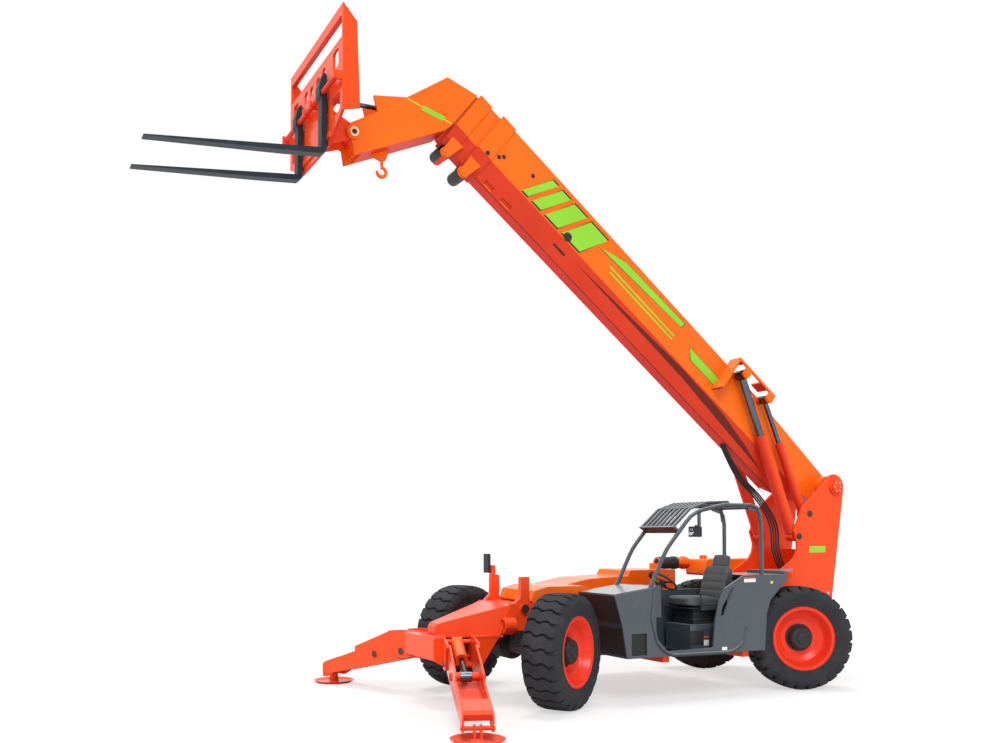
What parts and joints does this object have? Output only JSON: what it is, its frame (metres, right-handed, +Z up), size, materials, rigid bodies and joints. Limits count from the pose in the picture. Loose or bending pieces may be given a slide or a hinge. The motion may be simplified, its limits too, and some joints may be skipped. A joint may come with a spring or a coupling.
{
  "type": "telehandler",
  "caption": "Telescopic boom telehandler with open cab, pallet forks, four-wheel steering and front outriggers.",
  "frame": {"origin": "on the ground under the middle of the whole machine", "axes": "+X forward, +Y to the left, +Z up"},
  "size_m": [9.845, 4.8726, 7.74],
  "materials": {
    "orange_paint": "gloss",
    "slate_paint": "satin",
    "red_orange_rim": "gloss",
    "tyre": "matt",
    "dark_steel": "satin",
    "chrome_rod": "polished",
    "cast": "matt",
    "black_plastic": "matt",
    "seat_vinyl": "matt"
  },
  "bodies": {
    "chassis": {"cab_cowl": "slate_paint", "cab_guard": "slate_paint", "cab_side": "slate_paint", "cab_tub": "slate_paint", "engine_block": "cast", "engine_hood": "orange_paint", "frame": "orange_paint", "front_axle": "cast", "front_cover": "orange_paint", "mirror": "black_plastic", "rear_axle": "cast", "seat": "seat_vinyl", "steering_wheel": "black_plastic", "tank": "orange_paint", "tower": "orange_paint"},
    "boom_base": {"boom_base": "orange_paint"},
    "boom_mid": {"boom_mid": "orange_paint"},
    "boom_fly": {"boom_fly": "orange_paint"},
    "carriage": {"carriage": "orange_paint", "forks": "dark_steel"},
    "lift_barrel": {"lift_barrels": "orange_paint"},
    "lift_rod": {"lift_rods": "chrome_rod"},
    "slave_barrel": {"slave_barrel": "orange_paint"},
    "slave_rod": {"slave_rod": "chrome_rod"},
    "tilt_barrel": {"tilt_barrel": "orange_paint"},
    "tilt_rod": {"tilt_rod": "chrome_rod"},
    "outrigger_arm_l": {"outrigger_arm_l": "orange_paint"},
    "outrigger_pad_l": {"outrigger_pad_l": "orange_paint"},
    "outrigger_barrel_l": {"outrigger_barrel_l": "orange_paint"},
    "outrigger_rod_l": {"outrigger_rod_l": "chrome_rod"},
    "outrigger_arm_r": {"outrigger_arm_r": "orange_paint"},
    "outrigger_pad_r": {"outrigger_pad_r": "orange_paint"},
    "outrigger_barrel_r": {"outrigger_barrel_r": "orange_paint"},
    "outrigger_rod_r": {"outrigger_rod_r": "chrome_rod"},
    "knuckle_fl": {"knuckle_fl": "cast"},
    "wheel_fl": {"tyre_fl": "tyre", "rim_fl": "red_orange_rim"},
    "knuckle_fr": {"knuckle_fr": "cast"},
    "wheel_fr": {"tyre_fr": "tyre", "rim_fr": "red_orange_rim"},
    "knuckle_rl": {"knuckle_rl": "cast"},
    "wheel_rl": {"tyre_rl": "tyre", "rim_rl": "red_orange_rim"},
    "knuckle_rr": {"knuckle_rr": "cast"},
    "wheel_rr": {"tyre_rr": "tyre", "rim_rr": "red_orange_rim"}
  },
  "joints": [
    {"name": "steer_front_left", "type": "hinge", "parent": "chassis", "child": "knuckle_fl", "pos_m": [0.4225, 0.82, 0.67], "axis": [0, 0, 1], "range_deg": [-60, 4]},
    {"name": "spin_front_left", "type": "hinge", "parent": "knuckle_fl", "child": "wheel_fl", "pos_m": [0.27412, 1.05745, 0.67], "axis": [-0.5299, 0.848, 0], "continuous": true},
    {"name": "steer_front_right", "type": "hinge", "parent": "chassis", "child": "knuckle_fr", "pos_m": [0.4225, -0.82, 0.67], "axis": [0, 0, 1], "range_deg": [-39.38, 2.63]},
    {"name": "spin_front_right", "type": "hinge", "parent": "knuckle_fr", "child": "wheel_fr", "pos_m": [0.52284, -1.0814, 0.67], "axis": [-0.3584, 0.9336, 0], "continuous": true},
    {"name": "steer_rear_left", "type": "hinge", "parent": "chassis", "child": "knuckle_rl", "pos_m": [-3.4475, 0.82, 0.67], "axis": [0, 0, 1], "range_deg": [-9.5, 54.5]},
    {"name": "spin_rear_left", "type": "hinge", "parent": "knuckle_rl", "child": "wheel_rl", "pos_m": [-3.34035, 1.07869, 0.67], "axis": [0.3827, 0.9239, 0], "continuous": true},
    {"name": "steer_rear_right", "type": "hinge", "parent": "chassis", "child": "knuckle_rr", "pos_m": [-3.4475, -0.82, 0.67], "axis": [0, 0, 1], "range_deg": [-9.5, 54.5]},
    {"name": "spin_rear_right", "type": "hinge", "parent": "knuckle_rr", "child": "wheel_rr", "pos_m": [-3.55465, -1.07869, 0.67], "axis": [0.3827, 0.9239, 0], "continuous": true},
    {"name": "boom_lift", "type": "hinge", "parent": "chassis", "child": "boom_base", "pos_m": [-4.7575, 0, 2.7], "axis": [0, -1, 0], "range_deg": [-42, 29]},
    {"name": "boom_extend_mid", "type": "slide", "parent": "boom_base", "child": "boom_mid", "axis": [0.7815, 0, 0.6239], "range_m": [0, 2.25]},
    {"name": "boom_extend_fly", "type": "slide", "parent": "boom_mid", "child": "boom_fly", "axis": [0.7815, 0, 0.6239], "range_m": [0, 2.25]},
    {"name": "fork_tilt", "type": "hinge", "parent": "boom_fly", "child": "carriage", "pos_m": [2.54247, 0, 6.67981], "axis": [0, -1, 0], "range_deg": [-30, 50]},
    {"name": "lift_ram_swing", "type": "hinge", "parent": "chassis", "child": "lift_barrel", "pos_m": [-4.0275, 0, 1.99], "axis": [0, -1, 0], "range_deg": [-37.69, 26.18]},
    {"name": "lift_ram_stroke", "type": "slide", "parent": "lift_barrel", "child": "lift_rod", "axis": [0.3691, 0, 0.9294], "range_m": [-0.65296, 0.45117]},
    {"name": "slave_ram_swing", "type": "hinge", "parent": "chassis", "child": "slave_barrel", "pos_m": [-4.2375, 0, 2.31], "axis": [0, -1, 0], "range_deg": [-40.45, 28.09]},
    {"name": "slave_ram_stroke", "type": "slide", "parent": "slave_barrel", "child": "slave_rod", "axis": [0.3962, 0, 0.9182], "range_m": [-0.46025, 0.3181]},
    {"name": "tilt_ram_swing", "type": "hinge", "parent": "boom_fly", "child": "tilt_barrel", "pos_m": [1.37539, 0, 7.13518], "axis": [0, -1, 0], "range_deg": [-1.1, 1.5]},
    {"name": "tilt_ram_stroke", "type": "slide", "parent": "tilt_barrel", "child": "tilt_rod", "axis": [0.9997, 0, -0.0252], "range_m": [-0.40731, 0.24479]},
    {"name": "outrigger_left", "type": "hinge", "parent": "chassis", "child": "outrigger_arm_l", "pos_m": [1.39959, 0.69537, 0.56], "axis": [0.9397, -0.342, 0], "range_deg": [0, 82]},
    {"name": "pad_left", "type": "hinge", "parent": "outrigger_arm_l", "child": "outrigger_pad_l", "pos_m": [1.93315, 2.16129, 0.13], "axis": [0.9397, -0.342, 0], "range_deg": [-20, 20]},
    {"name": "outrigger_ram_left_swing", "type": "hinge", "parent": "chassis", "child": "outrigger_barrel_l", "pos_m": [1.24911, 0.28191, 0.75], "axis": [0.9397, -0.342, 0], "range_deg": [-0.5, 44.69]},
    {"name": "outrigger_ram_left_stroke", "type": "slide", "parent": "outrigger_barrel_l", "child": "outrigger_rod_l", "axis": [0.3295, 0.9053, -0.2682], "range_m": [-0.33229, 0.001]},
    {"name": "outrigger_right", "type": "hinge", "parent": "chassis", "child": "outrigger_arm_r", "pos_m": [1.39959, -0.69537, 0.56], "axis": [-0.9397, -0.342, 0], "range_deg": [0, 82]},
    {"name": "pad_right", "type": "hinge", "parent": "outrigger_arm_r", "child": "outrigger_pad_r", "pos_m": [1.93315, -2.16129, 0.13], "axis": [-0.9397, -0.342, 0], "range_deg": [-20, 20]},
    {"name": "outrigger_ram_right_swing", "type": "hinge", "parent": "chassis", "child": "outrigger_barrel_r", "pos_m": [1.24911, -0.28191, 0.75], "axis": [-0.9397, -0.342, 0], "range_deg": [-0.5, 44.69]},
    {"name": "outrigger_ram_right_stroke", "type": "slide", "parent": "outrigger_barrel_r", "child": "outrigger_rod_r", "axis": [0.3295, -0.9053, -0.2682], "range_m": [-0.33229, 0.001]}
  ],
  "couplings": [
    {"joint": "steer_front_right", "follows": "steer_front_left", "ratio": 0.65625},
    {"joint": "steer_rear_right", "follows": "steer_rear_left", "ratio": 1},
    {"joint": "boom_extend_fly", "follows": "boom_extend_mid", "ratio": 1},
    {"joint": "lift_ram_swing", "follows": "boom_lift", "ratio": 0.8854},
    {"joint": "lift_ram_stroke", "follows": "boom_lift", "m_per_rad": 0.8894},
    {"joint": "slave_ram_swing", "follows": "boom_lift", "ratio": 0.9513},
    {"joint": "slave_ram_stroke", "follows": "boom_lift", "m_per_rad": 0.6265},
    {"joint": "tilt_ram_swing", "follows": "fork_tilt", "ratio": 0.02},
    {"joint": "tilt_ram_stroke", "follows": "fork_tilt", "m_per_rad": -0.4656},
    {"joint": "outrigger_ram_left_swing", "follows": "outrigger_left", "ratio": 0.53884},
    {"joint": "outrigger_ram_left_stroke", "follows": "outrigger_left", "m_per_rad": -0.23148},
    {"joint": "outrigger_ram_right_swing", "follows": "outrigger_right", "ratio": 0.53884},
    {"joint": "outrigger_ram_right_stroke", "follows": "outrigger_right", "m_per_rad": -0.23148}
  ]
}
